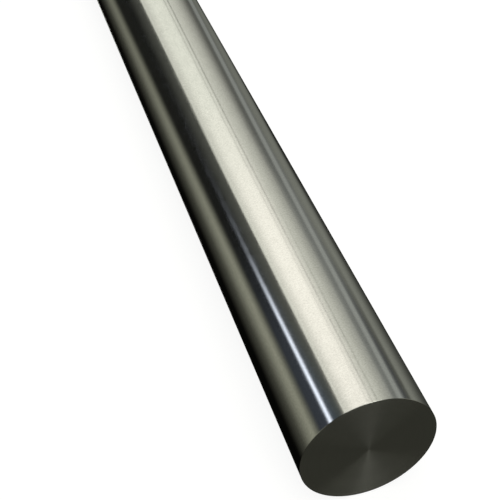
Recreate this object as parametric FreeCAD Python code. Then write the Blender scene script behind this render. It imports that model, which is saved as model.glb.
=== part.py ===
import FreeCAD, Part
import os

# Driving dimensions in millimetres
BAR_DIAMETER = 50.0
BAR_LENGTH = 1000.0
# Width of the 45 degree deburred edge, measured along the side and along the face alike
EDGE_BREAK = 0.1

# The bar lies along Y, with the origin on its axis at half its length
BAR_AXIS = FreeCAD.Vector(0, 1, 0)
MID_LENGTH = FreeCAD.Vector(0, 0, 0)
FULL_TURN = 360.0


def half_section():
    """Half of the bar's lengthwise section, from its axis out to the ground surface."""
    radius = BAR_DIAMETER / 2
    end = BAR_LENGTH / 2
    face_radius = radius - EDGE_BREAK
    side_end = end - EDGE_BREAK
    outline = [
        FreeCAD.Vector(0, -end, 0),
        FreeCAD.Vector(face_radius, -end, 0),
        FreeCAD.Vector(radius, -side_end, 0),
        FreeCAD.Vector(radius, side_end, 0),
        FreeCAD.Vector(face_radius, end, 0),
        FreeCAD.Vector(0, end, 0),
    ]
    return Part.Face(Part.makePolygon(outline + outline[:1]))


def round_bar():
    """The bar as it is turned: its half section carried once round the axis."""
    return half_section().revolve(MID_LENGTH, BAR_AXIS, FULL_TURN)


def write_piece(shape, node):
    """Writes one piece as its own STEP file, named after its node."""
    shape.exportStep("parts/" + node + ".step")


os.makedirs("parts", exist_ok=True)
write_piece(round_bar(), "round_bar")
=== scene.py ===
import math
from collections import namedtuple

import bpy
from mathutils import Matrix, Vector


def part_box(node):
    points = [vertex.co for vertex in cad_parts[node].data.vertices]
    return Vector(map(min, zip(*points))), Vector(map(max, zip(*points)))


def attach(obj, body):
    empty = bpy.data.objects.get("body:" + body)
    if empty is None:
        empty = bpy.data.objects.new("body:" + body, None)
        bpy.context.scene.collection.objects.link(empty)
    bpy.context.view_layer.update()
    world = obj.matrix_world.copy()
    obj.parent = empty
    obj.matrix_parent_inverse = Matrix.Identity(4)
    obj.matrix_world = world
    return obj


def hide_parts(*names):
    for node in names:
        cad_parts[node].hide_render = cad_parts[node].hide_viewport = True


bl_info = {
    "name": "Round Metal Bar",
    "version": (1, 0, 0),
    "blender": (4, 5, 0),
    "location": "View3D > Sidebar > Round Bar",
    "description": "Builds a ground round bar with faced ends and the studio that shows it",
    "category": "Add Mesh",
}

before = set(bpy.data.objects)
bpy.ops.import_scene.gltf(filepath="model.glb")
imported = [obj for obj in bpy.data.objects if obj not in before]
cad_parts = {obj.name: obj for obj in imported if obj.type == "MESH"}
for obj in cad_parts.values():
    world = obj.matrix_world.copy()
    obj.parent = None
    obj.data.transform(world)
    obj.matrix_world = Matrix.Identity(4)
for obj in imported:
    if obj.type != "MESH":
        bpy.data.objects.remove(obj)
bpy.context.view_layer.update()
BAR_LOW, BAR_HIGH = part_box("round_bar")
BAR_MAP = "TurningMap"
MM = 0.001

# Broad marks against fine ones: how much wider they are, and how much longer round the bar
BROAD_WIDTH = 10.0
BROAD_LENGTH = 4.0
# Share of the mottling that comes from the fine marks
FINE_SHARE = 0.75
# The range that the marks' noise mostly stays in
NOISE_LOW, NOISE_HIGH = 0.3, 0.7

# Marks that run round a surface. Spread is how far they draw reflections out across them, pitch
# and length are a mark's own size, contrast is between their colours, smooth and rough are the
# roughness between which they change, depth is that of the fine marks, and lean is how much the
# surface seems to slope across them
Marks = namedtuple("Marks", "spread pitch length contrast smooth rough depth lean")
GROUND_MARKS = Marks(
    spread=0.6,
    pitch=0.65 * MM,
    length=0.75 * MM,
    contrast=0.92,
    smooth=0.11,
    rough=0.14,
    depth=0.003 * MM,
    lean=0.0,
)
FACED_MARKS = Marks(
    spread=0.88,
    pitch=0.5 * MM,
    length=30 * MM,
    contrast=0.4,
    smooth=0.25,
    rough=0.27,
    depth=0.0003 * MM,
    lean=0.1,
)

# Where each stretch of the bar's surface lies in its map: the first row and the height
NEAR_FACE_MAP = (0.72, 0.13)
NEAR_EDGE_MAP = (0.71, 0.005)
SIDE_MAP = (0.0, 0.7)
FAR_EDGE_MAP = (0.985, 0.005)
FAR_FACE_MAP = (0.86, 0.12)
EDGE_RINGS = 2
# Points closer than this are one point where two stretches meet
WELD_GAP = 0.001 * MM
# Edges that turn more sharply than this are shaded as corners
CREASE_ANGLE = math.radians(25)
# Share of the edge break, in from the end, that counts as the end for its finish
FACED_SHARE = 0.9

# Half the floor's width, and the nearest that the camera sees, in metres
FLOOR_HALF = 20.0
CAMERA_CLIP = 0.01


# Node helpers


def add_node(tree, kind, inputs=None, **settings):
    """Adds a node, sets its properties, and fills or links its inputs by name or number."""
    made = tree.nodes.new(kind)
    for name, value in settings.items():
        setattr(made, name, value)
    for key, value in (inputs or {}).items():
        if isinstance(value, bpy.types.NodeSocket):
            tree.links.new(value, made.inputs[key])
        else:
            made.inputs[key].default_value = value
    return made


def math_node(tree, operation, *values):
    """A Math node's output."""
    return add_node(tree, "ShaderNodeMath", dict(enumerate(values)), operation=operation).outputs[0]


def new_group(kind, name, inputs, outputs):
    """An empty node group with named sockets, given as (name, socket type, default)."""
    group = bpy.data.node_groups.new(name, kind)
    for label, socket_type, default in inputs:
        socket = group.interface.new_socket(name=label, in_out="INPUT", socket_type=socket_type)
        if default is not None:
            socket.default_value = default
    for label, socket_type in outputs:
        group.interface.new_socket(name=label, in_out="OUTPUT", socket_type=socket_type)
    given = group.nodes.new("NodeGroupInput").outputs
    wanted = group.nodes.new("NodeGroupOutput").inputs
    return group, given, wanted


# The shader group that both finishes use


def turning_marks_group():
    """Marks left by a wheel or tool that ran round the bar: fine across them, long along them."""
    group, given, wanted = new_group(
        "ShaderNodeTree",
        "Turning Marks",
        [
            ("Position", "NodeSocketVector", None),
            ("Across", "NodeSocketFloat", 0.0),
            ("Pitch", "NodeSocketFloat", 0.5 * MM),
            ("Length", "NodeSocketFloat", 1 * MM),
        ],
        [("Fine", "NodeSocketFloat"), ("Broad", "NodeSocketFloat")],
    )
    place = add_node(group, "ShaderNodeSeparateXYZ", {0: given["Position"]}).outputs
    for label, wider, longer in (("Fine", 1.0, 1.0), ("Broad", BROAD_WIDTH, BROAD_LENGTH)):
        pitch = math_node(group, "MULTIPLY", given["Pitch"], wider)
        length = math_node(group, "MULTIPLY", given["Length"], longer)
        stretched = add_node(
            group,
            "ShaderNodeCombineXYZ",
            {
                0: math_node(group, "DIVIDE", place[0], length),
                1: math_node(group, "DIVIDE", given["Across"], pitch),
                2: math_node(group, "DIVIDE", place[2], length),
            },
        )
        noise = add_node(
            group,
            "ShaderNodeTexNoise",
            {"Vector": stretched.outputs[0], "Scale": 1.0, "Detail": 2.0, "Roughness": 0.6},
            noise_dimensions="3D",
        )
        group.links.new(noise.outputs["Fac"], wanted[label])
    return group


# Materials


def steel_material(name, marks_group, marks, finish, across):
    """Bare steel with marks round it, which draw its reflections out across them."""
    material = bpy.data.materials.new(name)
    material.use_nodes = True
    tree = material.node_tree
    shader = tree.nodes["Principled BSDF"]
    shader.inputs["Metallic"].default_value = 1.0
    shader.inputs["Anisotropic"].default_value = marks.spread
    place = add_node(tree, "ShaderNodeTexCoord").outputs["Object"]
    distance = across(tree, place)
    marked = add_node(
        tree,
        "ShaderNodeGroup",
        {"Position": place, "Across": distance, "Pitch": marks.pitch, "Length": marks.length},
        node_tree=marks_group,
    )
    fine, broad = marked.outputs
    broad_part = math_node(tree, "MULTIPLY", broad, 1 - FINE_SHARE)
    mottling = math_node(tree, "MULTIPLY_ADD", fine, FINE_SHARE, broad_part)
    mixed = add_node(
        tree,
        "ShaderNodeMapRange",
        {0: mottling, 3: 0.5 - marks.contrast / 2, 4: 0.5 + marks.contrast / 2},
    )
    colour = add_node(
        tree,
        "ShaderNodeMix",
        {0: mixed.outputs[0], 6: (*finish.dark_steel, 1), 7: (*finish.light_steel, 1)},
        data_type="RGBA",
    )
    tree.links.new(colour.outputs[2], shader.inputs["Base Color"])
    roughness = add_node(
        tree,
        "ShaderNodeMapRange",
        {0: broad, 1: NOISE_LOW, 2: NOISE_HIGH, 3: marks.smooth, 4: marks.rough},
    )
    tree.links.new(roughness.outputs[0], shader.inputs["Roughness"])
    slope = math_node(tree, "MULTIPLY", distance, marks.lean)
    height = math_node(tree, "MULTIPLY_ADD", fine, marks.depth, slope)
    bump = add_node(tree, "ShaderNodeBump", {"Strength": 1.0, "Distance": 1.0, "Height": height})
    tree.links.new(bump.outputs[0], shader.inputs["Normal"])
    tangent = add_node(tree, "ShaderNodeTangent", direction_type="UV_MAP", uv_map=BAR_MAP)
    tree.links.new(tangent.outputs[0], shader.inputs["Tangent"])
    return material


def along_the_bar(tree, place):
    """Distance along the bar, which runs across the marks of its ground side."""
    return add_node(tree, "ShaderNodeSeparateXYZ", {0: place}).outputs[1]


def out_from_the_axis(tree, place):
    """Distance from the axis, which runs across the marks of a faced end."""
    flat = add_node(tree, "ShaderNodeVectorMath", {0: place, 1: (1, 0, 1)}, operation="MULTIPLY")
    return add_node(
        tree, "ShaderNodeVectorMath", {0: flat.outputs[0]}, operation="LENGTH"
    ).outputs["Value"]


# The bar's shape


def turned_surface_group():
    """One surface of revolution round Y, swept from one radius and station to another."""
    group, given, wanted = new_group(
        "GeometryNodeTree",
        "Turned Surface",
        [
            ("From Radius", "NodeSocketFloat", 0.0),
            ("From Station", "NodeSocketFloat", 0.0),
            ("To Radius", "NodeSocketFloat", 0.0),
            ("To Station", "NodeSocketFloat", 0.0),
            ("Rings", "NodeSocketInt", 2),
            ("Segments", "NodeSocketInt", 96),
            ("Map Start", "NodeSocketFloat", 0.0),
            ("Map Height", "NodeSocketFloat", 1.0),
        ],
        [("Geometry", "NodeSocketGeometry")],
    )
    grid = add_node(
        group,
        "GeometryNodeMeshGrid",
        {
            "Size X": 1.0,
            "Size Y": 1.0,
            "Vertices X": given["Rings"],
            "Vertices Y": math_node(group, "ADD", given["Segments"], 1),
        },
    )
    place = add_node(
        group,
        "ShaderNodeSeparateXYZ",
        {0: add_node(group, "GeometryNodeInputPosition").outputs[0]},
    ).outputs
    along = math_node(group, "ADD", place[0], 0.5)
    turn = math_node(group, "MULTIPLY", math_node(group, "ADD", place[1], 0.5), math.tau)

    def between(start, end):
        step = math_node(group, "SUBTRACT", given[end], given[start])
        return math_node(group, "MULTIPLY_ADD", step, along, given[start])

    radius = between("From Radius", "To Radius")
    station = between("From Station", "To Station")
    turned = add_node(
        group,
        "ShaderNodeCombineXYZ",
        {
            0: math_node(group, "MULTIPLY", radius, math_node(group, "COSINE", turn)),
            1: station,
            2: math_node(group, "MULTIPLY", radius, math_node(group, "SINE", turn)),
        },
    )
    mapped = add_node(group, "ShaderNodeSeparateXYZ", {0: grid.outputs["UV Map"]}).outputs
    rows = math_node(group, "MULTIPLY_ADD", mapped[1], given["Map Height"], given["Map Start"])
    stored = add_node(
        group,
        "GeometryNodeStoreNamedAttribute",
        {
            "Geometry": grid.outputs["Mesh"],
            "Name": BAR_MAP,
            "Value": add_node(group, "ShaderNodeCombineXYZ", {0: mapped[0], 1: rows}).outputs[0],
        },
        data_type="FLOAT2",
        domain="CORNER",
    )
    moved = add_node(
        group,
        "GeometryNodeSetPosition",
        {"Geometry": stored.outputs[0], "Position": turned.outputs[0]},
    )
    group.links.new(moved.outputs[0], wanted["Geometry"])
    return group


def round_bar_tree(surface, side_material, end_material):
    """The whole bar: faced end, broken edge, ground side, broken edge, faced end."""
    tree, given, wanted = new_group(
        "GeometryNodeTree",
        "Round Bar",
        [
            ("Diameter", "NodeSocketFloat", 0.0),
            ("Length", "NodeSocketFloat", 0.0),
            ("Edge Break", "NodeSocketFloat", 0.0),
            ("Segments", "NodeSocketInt", 96),
            ("Rings On Face", "NodeSocketInt", 2),
            ("Rings On Side", "NodeSocketInt", 2),
        ],
        [("Geometry", "NodeSocketGeometry")],
    )
    radius = math_node(tree, "MULTIPLY", given["Diameter"], 0.5)
    far_end = math_node(tree, "MULTIPLY", given["Length"], 0.5)
    near_end = math_node(tree, "MULTIPLY", given["Length"], -0.5)
    face_radius = math_node(tree, "SUBTRACT", radius, given["Edge Break"])
    side_start = math_node(tree, "ADD", near_end, given["Edge Break"])
    side_end = math_node(tree, "SUBTRACT", far_end, given["Edge Break"])
    face_rings, side_rings = given["Rings On Face"], given["Rings On Side"]
    stretches = [
        (0.0, near_end, face_radius, near_end, face_rings, NEAR_FACE_MAP),
        (face_radius, near_end, radius, side_start, EDGE_RINGS, NEAR_EDGE_MAP),
        (radius, side_start, radius, side_end, side_rings, SIDE_MAP),
        (radius, side_end, face_radius, far_end, EDGE_RINGS, FAR_EDGE_MAP),
        (face_radius, far_end, 0.0, far_end, face_rings, FAR_FACE_MAP),
    ]
    joined = add_node(tree, "GeometryNodeJoinGeometry")
    for start, start_at, end, end_at, rings, (map_start, map_height) in reversed(stretches):
        stretch = add_node(
            tree,
            "GeometryNodeGroup",
            {
                "From Radius": start,
                "From Station": start_at,
                "To Radius": end,
                "To Station": end_at,
                "Rings": rings,
                "Segments": given["Segments"],
                "Map Start": map_start,
                "Map Height": map_height,
            },
            node_tree=surface,
        )
        tree.links.new(stretch.outputs[0], joined.inputs[0])
    welded = add_node(
        tree, "GeometryNodeMergeByDistance", {"Geometry": joined.outputs[0], "Distance": WELD_GAP}
    )
    smooth = add_node(tree, "GeometryNodeSetShadeSmooth", {"Geometry": welded.outputs[0]})
    corner = math_node(
        tree,
        "GREATER_THAN",
        add_node(tree, "GeometryNodeInputMeshEdgeAngle").outputs["Unsigned Angle"],
        CREASE_ANGLE,
    )
    creased = add_node(
        tree,
        "GeometryNodeSetShadeSmooth",
        {"Geometry": smooth.outputs[0], "Selection": corner, "Shade Smooth": False},
        domain="EDGE",
    )
    ground = add_node(
        tree, "GeometryNodeSetMaterial", {"Geometry": creased.outputs[0], "Material": side_material}
    )
    station = math_node(
        tree,
        "ABSOLUTE",
        add_node(
            tree,
            "ShaderNodeSeparateXYZ",
            {0: add_node(tree, "GeometryNodeInputPosition").outputs[0]},
        ).outputs[1],
    )
    on_end = math_node(
        tree,
        "GREATER_THAN",
        station,
        math_node(tree, "MULTIPLY_ADD", given["Edge Break"], -FACED_SHARE, far_end),
    )
    faced = add_node(
        tree,
        "GeometryNodeSetMaterial",
        {"Geometry": ground.outputs[0], "Selection": on_end, "Material": end_material},
    )
    tree.links.new(faced.outputs[0], wanted["Geometry"])
    return tree


def mesh_from_tree(name, tree, values):
    """Runs a geometry tree with these inputs and returns its result as a plain mesh."""
    holder = bpy.data.objects.new(name + "_tree", bpy.data.meshes.new(name + "_tree"))
    bpy.context.scene.collection.objects.link(holder)
    modifier = holder.modifiers.new("Shape", "NODES")
    modifier.node_group = tree
    for item in tree.interface.items_tree:
        if item.in_out == "INPUT" and item.name in values:
            modifier[item.identifier] = values[item.name]
    graph = bpy.context.evaluated_depsgraph_get()
    mesh = bpy.data.meshes.new_from_object(holder.evaluated_get(graph), depsgraph=graph)
    mesh.name = name
    bpy.data.objects.remove(holder)
    return mesh


# The studio

# One edge of a long light: its angle round the bar, its softness, and how much it leans over
# as it runs away, all in degrees
Edge = namedtuple("Edge", "angle softness tilt")
# A long light between two edges, which may end at a reach and be stronger or weaker far away.
# A level below nothing is a shade that takes light from the others. Turn is its own heading
LightBand = namedtuple(
    "LightBand",
    "name low high colour level reach reach_softness far_level turn",
    defaults=(2, 1, 1, 0),
)

# Distance outward is the part of a direction that points along the bar, from 0 to 1.
# The lights bow by this many degrees as they run out, and then come back by this share of it
LIGHT_BOW = 2.2
BOW_RETURN = 1.1
BOW_START, BOW_WIDEST, BOW_END = 0.57, 0.78, 0.87
# Between these distances a light changes to its far level
FADE_START, FADE_END = 0.68, 0.86
# The two halves of the studio blend this far across the middle
HALVES_BLEND = 0.1

CREAM = (0.985, 1.0, 0.9)
PALE = (0.96, 1.0, 0.9)
PINK = (1.3, 1.0, 1.05)
COOL = (0.9, 0.98, 1.14)
NIGHT = (0.8, 0.96, 1.3)
WARM = (1.0, 0.65, 0.1)
OLIVE = (0.98, 1.0, 0.8)
GREY = (0.96, 1.0, 0.88)
BLUISH = (0.95, 1.0, 0.95)

# Ahead is the half of the studio that the bar runs away into, and behind is the camera's half
LIGHTS_AHEAD = [
    LightBand("overhead panel", Edge(-37, 30, 33), Edge(27.9, 0.6, 5), CREAM, 0.72, far_level=0.87),
    LightBand("panel's sill", Edge(27.9, 0.6, 5), Edge(25.8, 0.6, 15), CREAM, 0.75, 0.785, 0.05),
    LightBand("panel's middle", Edge(-14, 21, 48), Edge(20, 30, 5), PALE, 0.38, far_level=0.92),
    LightBand("panel's near middle", Edge(-14, 21, 48), Edge(20, 30, 5), PINK, 0.17, 0.77, 0.12),
    LightBand("near shade", Edge(-14, 21, 48), Edge(27, 2, 5), CREAM, -0.09, 0.64, 0.08),
    LightBand("left seam", Edge(-10.9, 1, 61), Edge(-9.8, 1, 61), CREAM, -0.28, far_level=1.3),
    LightBand("middle seam", Edge(-15.7, 1, 46), Edge(-14.3, 1, 46), CREAM, -0.35, far_level=1.3),
    LightBand("right seam", Edge(-22.3, 1, 38), Edge(-20.9, 1, 38), CREAM, -0.25, 0.7, 0.1),
    LightBand(
        "panel's right shade", Edge(-44.2, 4, 33), Edge(-48, 4, 10), CREAM, -0.09, 0.79, 0.06, 0.8
    ),
    LightBand("panel's frame", Edge(-47.5, 3, 33), Edge(-43.5, 3, 33), CREAM, -0.06, 0.78, 0.06),
    LightBand("left wall", Edge(24, 2, 5), Edge(46, 28, 5), GREY, 0.1, far_level=0.75),
    LightBand("far corner", Edge(56, 20, 5), Edge(85, 20, 5), GREY, 0.008, far_level=1.7),
    LightBand("narrow lamp", Edge(43, 4.5, 24), Edge(48.3, 4.5, 20.5), COOL, 1.6, 0.68, 0.05),
    LightBand("lamp's glow", Edge(38, 10, 14), Edge(70, 16, 14), NIGHT, 0.045, 0.67, 0.1),
    LightBand("lamp's shade", Edge(30, 4, 14), Edge(46, 6, 14), WARM, -0.03, 0.6, 0.08),
    LightBand("left table", Edge(75.7, 20, 12.5), Edge(96.5, 36, 10), OLIVE, 0.22, far_level=0.68),
    LightBand(
        "left table's edge", Edge(75.7, 20, 12.5), Edge(112, 62, 10), OLIVE, 0.13, far_level=0.68
    ),
    LightBand("right lamp", Edge(-56.5, 4, 31), Edge(-49.5, 4, 31), BLUISH, 0.16, far_level=0.9),
    LightBand(
        "right lamp's glow", Edge(-46.6, 8, 33), Edge(-37.5, 17, 33), BLUISH, 0.21, 0.76, 0.12
    ),
    LightBand("right wall", Edge(-66, 8, 24), Edge(-46.5, 9, 33), BLUISH, 0.2, far_level=0.6),
    LightBand("right table", Edge(-93, 36, 24), Edge(-66, 8, 24), GREY, 0.19, far_level=0.42),
    LightBand("right haze", Edge(-146, 14, -20), Edge(-66, 14, 24), GREY, 0.055, far_level=1.7),
    LightBand("near haze", Edge(-175, 10, 24), Edge(-129, 10, 24), GREY, 0.045, 0.67, 0.08),
    LightBand("right shade", Edge(-103, 10, 24), Edge(-129, 10, -7), GREY, -0.07, 0.785, 0.07),
    LightBand("right gap", Edge(-99, 8, 24), Edge(-84, 8, 24), GREY, -0.016, 0.77, 0.04),
    LightBand("dark corner", Edge(-73, 6, 24), Edge(-61.5, 6, 24), GREY, -0.14, 0.66, 0.14),
    LightBand("dark table", Edge(-200, 1, 0), Edge(200, 1, 0), OLIVE, 0.002),
]
LIGHTS_BEHIND = [
    LightBand("rear panel", Edge(-40, 30, 0), Edge(28, 3, 0), CREAM, 0.8, 0.9, 0.1),
    LightBand("rear left table", Edge(70, 20, 0), Edge(100, 30, 0), OLIVE, 0.4, 0.8, 0.2),
    LightBand("rear right table", Edge(-100, 30, 0), Edge(-70, 20, 0), OLIVE, 0.2, 0.8, 0.2),
    LightBand("rear walls", Edge(-95, 20, 0), Edge(95, 20, 0), GREY, 0.05, 0.8, 0.2),
    LightBand("rear lamp", Edge(56, 8, 0), Edge(76, 8, 0), CREAM, 1.8, 0.14, 0.1, turn=-108),
    LightBand("low window", Edge(95, 8, 0), Edge(115, 8, 0), CREAM, 0.2, 0.7, 0.2, turn=-108),
    LightBand("front table", Edge(100, 30, 0), Edge(170, 30, 0), OLIVE, 0.036, 0.7, 0.3, turn=-90),
    LightBand("dark table", Edge(-200, 1, 0), Edge(200, 1, 0), OLIVE, 0.002),
]


def light_band_group():
    """A long soft light that runs the way the bar does, between two angles round it."""
    group, given, wanted = new_group(
        "ShaderNodeTree",
        "Light Band",
        [
            ("Direction", "NodeSocketVector", None),
            ("Turn", "NodeSocketFloat", 0.0),
            ("Low Angle", "NodeSocketFloat", 0.0),
            ("Low Softness", "NodeSocketFloat", 1.0),
            ("Low Tilt", "NodeSocketFloat", 0.0),
            ("High Angle", "NodeSocketFloat", 0.0),
            ("High Softness", "NodeSocketFloat", 1.0),
            ("High Tilt", "NodeSocketFloat", 0.0),
            ("Colour", "NodeSocketColor", None),
            ("Level", "NodeSocketFloat", 1.0),
            ("Reach", "NodeSocketFloat", 2.0),
            ("Reach Softness", "NodeSocketFloat", 1.0),
            ("Far Level", "NodeSocketFloat", 1.0),
        ],
        [("Light", "NodeSocketColor")],
    )
    turned = add_node(
        group,
        "ShaderNodeVectorRotate",
        {"Vector": given["Direction"], "Angle": math_node(group, "RADIANS", given["Turn"])},
        rotation_type="Z_AXIS",
    )
    way = add_node(group, "ShaderNodeSeparateXYZ", {0: turned.outputs[0]}).outputs
    outward = math_node(group, "ABSOLUTE", way[1])

    def past(value, limit, softness):
        half = math_node(group, "MULTIPLY", softness, 0.5)
        step = {
            0: value,
            1: math_node(group, "SUBTRACT", limit, half),
            2: math_node(group, "ADD", limit, half),
        }
        return add_node(
            group, "ShaderNodeMapRange", step, interpolation_type="SMOOTHSTEP"
        ).outputs[0]

    def past_edge(edge):
        tilt = math_node(group, "RADIANS", given[edge + " Tilt"])
        lift = math_node(group, "MULTIPLY", outward, math_node(group, "SINE", tilt))
        height = math_node(
            group, "MULTIPLY_ADD", way[2], math_node(group, "COSINE", tilt), lift
        )
        aside = math_node(group, "MULTIPLY", way[0], -1.0)
        angle = math_node(group, "DEGREES", math_node(group, "ARCTAN2", aside, height))
        return past(angle, given[edge + " Angle"], given[edge + " Softness"])

    between = math_node(group, "SUBTRACT", past_edge("Low"), past_edge("High"))
    inside = math_node(group, "MAXIMUM", between, 0.0)
    ends = math_node(
        group, "SUBTRACT", 1.0, past(outward, given["Reach"], given["Reach Softness"])
    )
    fade = add_node(
        group,
        "ShaderNodeMapRange",
        {0: outward, 1: FADE_START, 2: FADE_END, 3: 1.0, 4: given["Far Level"]},
    ).outputs[0]
    level = math_node(
        group,
        "MULTIPLY",
        math_node(group, "MULTIPLY", inside, ends),
        math_node(group, "MULTIPLY", fade, given["Level"]),
    )
    lit = add_node(
        group, "ShaderNodeVectorMath", {0: given["Colour"], 3: level}, operation="SCALE"
    )
    group.links.new(lit.outputs[0], wanted["Light"])
    return group


def bowed(tree, way):
    """A direction turned a little round the bar, so that the long lights bow as they run out."""
    outward = math_node(
        tree, "ABSOLUTE", add_node(tree, "ShaderNodeSeparateXYZ", {0: way}).outputs[1]
    )
    turn = math.radians(LIGHT_BOW)
    out = add_node(
        tree,
        "ShaderNodeMapRange",
        {0: outward, 1: BOW_START, 2: BOW_WIDEST, 4: turn},
        interpolation_type="SMOOTHSTEP",
    )
    back = add_node(
        tree,
        "ShaderNodeMapRange",
        {0: outward, 1: BOW_WIDEST, 2: BOW_END, 4: BOW_RETURN * turn},
        interpolation_type="SMOOTHSTEP",
    )
    angle = math_node(tree, "SUBTRACT", out.outputs[0], back.outputs[0])
    return add_node(
        tree, "ShaderNodeVectorRotate", {"Vector": way, "Angle": angle}, rotation_type="Y_AXIS"
    ).outputs[0]


def light_from(tree, way, bands, band_group):
    """The sum of some light bands in one direction."""
    total = None
    for band in bands:
        lamp = add_node(
            tree,
            "ShaderNodeGroup",
            {
                "Direction": way,
                "Turn": band.turn,
                "Low Angle": band.low.angle,
                "Low Softness": band.low.softness,
                "Low Tilt": band.low.tilt,
                "High Angle": band.high.angle,
                "High Softness": band.high.softness,
                "High Tilt": band.high.tilt,
                "Colour": (*band.colour, 1),
                "Level": band.level,
                "Reach": band.reach,
                "Reach Softness": band.reach_softness,
                "Far Level": band.far_level,
            },
            node_tree=band_group,
            label=band.name,
        )
        if total is None:
            total = lamp.outputs[0]
        else:
            total = add_node(
                tree, "ShaderNodeVectorMath", {0: total, 1: lamp.outputs[0]}, operation="ADD"
            ).outputs[0]
    return total


def studio_world(level):
    """Soft studio light from all round, in long bands, with a white backdrop for the camera."""
    world = bpy.data.worlds.new("Studio Light")
    world.use_nodes = True
    tree = world.node_tree
    tree.nodes.clear()
    way = add_node(tree, "ShaderNodeTexCoord").outputs["Generated"]
    band_group = light_band_group()
    along = add_node(tree, "ShaderNodeSeparateXYZ", {0: way}).outputs[1]
    is_ahead = add_node(
        tree, "ShaderNodeMapRange", {0: along, 1: -HALVES_BLEND, 2: HALVES_BLEND}
    ).outputs[0]
    light = add_node(
        tree,
        "ShaderNodeMix",
        {
            0: is_ahead,
            6: light_from(tree, way, LIGHTS_BEHIND, band_group),
            7: light_from(tree, bowed(tree, way), LIGHTS_AHEAD, band_group),
        },
        data_type="RGBA",
    ).outputs[2]
    studio = add_node(tree, "ShaderNodeBackground", {"Color": light, "Strength": level})
    backdrop = add_node(tree, "ShaderNodeBackground", {"Color": (1, 1, 1, 1), "Strength": 1.0})
    seen = add_node(tree, "ShaderNodeLightPath").outputs["Is Camera Ray"]
    mixed = add_node(
        tree, "ShaderNodeMixShader", {0: seen, 1: studio.outputs[0], 2: backdrop.outputs[0]}
    )
    add_node(tree, "ShaderNodeOutputWorld", {"Surface": mixed.outputs[0]})
    bpy.context.scene.world = world


def floor_material(colour, glow):
    """A white floor that keeps a soft shadow under the bar."""
    material = bpy.data.materials.new("Pale Floor")
    material.use_nodes = True
    tree = material.node_tree
    tree.nodes.clear()
    matt = add_node(tree, "ShaderNodeBsdfDiffuse", {"Color": (*colour, 1)})
    seen = add_node(tree, "ShaderNodeLightPath").outputs["Is Camera Ray"]
    white = add_node(
        tree,
        "ShaderNodeEmission",
        {"Color": (1, 1, 1, 1), "Strength": math_node(tree, "MULTIPLY", seen, glow)},
    )
    both = add_node(tree, "ShaderNodeAddShader", {0: matt.outputs[0], 1: white.outputs[0]})
    add_node(tree, "ShaderNodeOutputMaterial", {"Surface": both.outputs[0]})
    return material


# Settings that a user would change


class BarSizes(bpy.types.PropertyGroup):
    """Sizes of the bar."""

    diameter: bpy.props.FloatProperty(
        name="Diameter",
        description="Across the ground side",
        default=BAR_HIGH.x - BAR_LOW.x,
        unit="LENGTH",
    )
    length: bpy.props.FloatProperty(
        name="Length", description="From end to end", default=BAR_HIGH.y - BAR_LOW.y, unit="LENGTH"
    )
    edge_break: bpy.props.FloatProperty(
        name="Edge Break", description="Width of the deburred edge", default=0.1 * MM, unit="LENGTH"
    )
    segments: bpy.props.IntProperty(
        name="Segments", description="Flats round the bar", default=192, min=12
    )
    side_rings: bpy.props.IntProperty(
        name="Side Rings", description="Rings of points along the side", default=41, min=2
    )
    face_rings: bpy.props.IntProperty(
        name="Face Rings",
        description="Rings of points out from the axis on each end",
        default=11,
        min=2,
    )


class BarFinish(bpy.types.PropertyGroup):
    """Finish of the bar."""

    light_steel: bpy.props.FloatVectorProperty(
        name="Light Steel",
        description="Brightest steel",
        subtype="COLOR",
        size=3,
        default=(0.88, 0.875, 0.84),
    )
    dark_steel: bpy.props.FloatVectorProperty(
        name="Dark Steel",
        description="Steel in the marks",
        subtype="COLOR",
        size=3,
        default=(0.52, 0.515, 0.485),
    )


class StudioSettings(bpy.types.PropertyGroup):
    """The floor, the light and the camera."""

    floor_colour: bpy.props.FloatVectorProperty(
        name="Floor",
        description="Colour of the floor",
        subtype="COLOR",
        size=3,
        default=(0.3, 0.3, 0.3),
    )
    floor_glow: bpy.props.FloatProperty(
        name="Floor Glow", description="White added where the camera sees the floor", default=0.88
    )
    light_level: bpy.props.FloatProperty(
        name="Light", description="Level of the studio light", default=1.0
    )
    camera_offset: bpy.props.FloatVectorProperty(
        name="Camera Place",
        description="Camera from the centre of the near end",
        subtype="TRANSLATION",
        size=3,
        default=(-105.4 * MM, -197.82 * MM, 288.31 * MM),
    )
    camera_down: bpy.props.FloatProperty(
        name="Camera Down",
        description="Pitch below level",
        subtype="ANGLE",
        default=math.radians(41.86),
    )
    camera_turn: bpy.props.FloatProperty(
        name="Camera Turn",
        description="Heading from the bar's axis",
        subtype="ANGLE",
        default=math.radians(-17.627),
    )
    focal_length: bpy.props.FloatProperty(
        name="Focal Length", description="In mm on a 36 mm sensor", default=75.69
    )


# Operators


class ROUNDBAR_OT_bar(bpy.types.Operator):
    """Builds the bar: ground side, broken edges and faced ends, as one closed mesh."""

    bl_idname = "roundbar.bar"
    bl_label = "Round Bar"

    def execute(self, context):
        sizes = context.scene.bar_sizes
        finish = context.scene.bar_finish
        marks_group = turning_marks_group()
        side = steel_material("Ground Steel", marks_group, GROUND_MARKS, finish, along_the_bar)
        ends = steel_material("Faced Steel", marks_group, FACED_MARKS, finish, out_from_the_axis)
        mesh = mesh_from_tree(
            "round_bar_turned",
            round_bar_tree(turned_surface_group(), side, ends),
            {
                "Diameter": sizes.diameter,
                "Length": sizes.length,
                "Edge Break": sizes.edge_break,
                "Segments": sizes.segments,
                "Rings On Face": sizes.face_rings,
                "Rings On Side": sizes.side_rings,
            },
        )
        if not mesh.polygons or BAR_MAP not in mesh.uv_layers:
            raise RuntimeError("the bar's mesh came out without faces or without its map")
        bar = bpy.data.objects.new("round_bar_turned", mesh)
        context.scene.collection.objects.link(bar)
        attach(bar, "root")
        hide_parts("round_bar")
        return {"FINISHED"}


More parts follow.
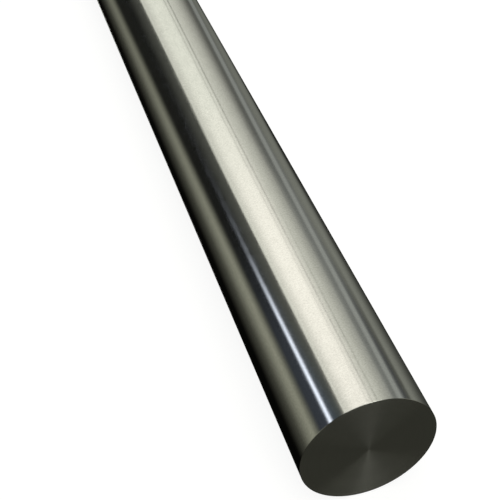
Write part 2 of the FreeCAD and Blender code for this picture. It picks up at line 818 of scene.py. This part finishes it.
class ROUNDBAR_OT_studio(bpy.types.Operator):
    """Sets up the pale floor, the soft studio light and the camera."""

    bl_idname = "roundbar.studio"
    bl_label = "Studio"

    def execute(self, context):
        studio = context.scene.bar_studio
        sizes = context.scene.bar_sizes
        studio_world(studio.light_level)
        level = -sizes.diameter / 2
        mesh = bpy.data.meshes.new("floor")
        corners = [
            (across * FLOOR_HALF, along * FLOOR_HALF, level)
            for across, along in ((-1, -1), (1, -1), (1, 1), (-1, 1))
        ]
        mesh.from_pydata(corners, [], [(0, 1, 2, 3)])
        mesh.materials.append(floor_material(tuple(studio.floor_colour), studio.floor_glow))
        floor = bpy.data.objects.new("floor", mesh)
        floor.visible_glossy = False
        context.scene.collection.objects.link(floor)
        data = bpy.data.cameras.new("camera")
        data.lens = studio.focal_length
        data.clip_start = CAMERA_CLIP
        camera = bpy.data.objects.new("camera", data)
        near_end = (0, -sizes.length / 2, 0)
        camera.location = [a + b for a, b in zip(near_end, studio.camera_offset)]
        camera.rotation_euler = (math.pi / 2 - studio.camera_down, 0, studio.camera_turn)
        context.scene.collection.objects.link(camera)
        context.scene.camera = camera
        context.scene.view_settings.view_transform = "Standard"
        return {"FINISHED"}


class ROUNDBAR_PT_panel(bpy.types.Panel):
    """Lists the sizes, the finish and the studio with their buttons."""

    bl_idname = "ROUNDBAR_PT_panel"
    bl_label = "Round Bar"
    bl_space_type = "VIEW_3D"
    bl_region_type = "UI"
    bl_category = "Round Bar"

    def draw(self, context):
        for settings, operator in (
            (context.scene.bar_sizes, None),
            (context.scene.bar_finish, ROUNDBAR_OT_bar),
            (context.scene.bar_studio, ROUNDBAR_OT_studio),
        ):
            for name in settings.bl_rna.properties.keys():
                if name not in ("name", "rna_type"):
                    self.layout.prop(settings, name)
            if operator is not None:
                self.layout.operator(operator.bl_idname)


CLASSES = (
    BarSizes,
    BarFinish,
    StudioSettings,
    ROUNDBAR_OT_bar,
    ROUNDBAR_OT_studio,
    ROUNDBAR_PT_panel,
)


def register():
    """Registers the classes and gives the scene its settings."""
    for item in CLASSES:
        bpy.utils.register_class(item)
    bpy.types.Scene.bar_sizes = bpy.props.PointerProperty(type=BarSizes)
    bpy.types.Scene.bar_finish = bpy.props.PointerProperty(type=BarFinish)
    bpy.types.Scene.bar_studio = bpy.props.PointerProperty(type=StudioSettings)


def unregister():
    """Takes the settings and the classes away again."""
    del bpy.types.Scene.bar_studio
    del bpy.types.Scene.bar_finish
    del bpy.types.Scene.bar_sizes
    for item in reversed(CLASSES):
        bpy.utils.unregister_class(item)


def main():
    """Builds the bar and its studio."""
    register()
    bpy.ops.roundbar.bar()
    bpy.ops.roundbar.studio()


if __name__ == "__main__":
    main()
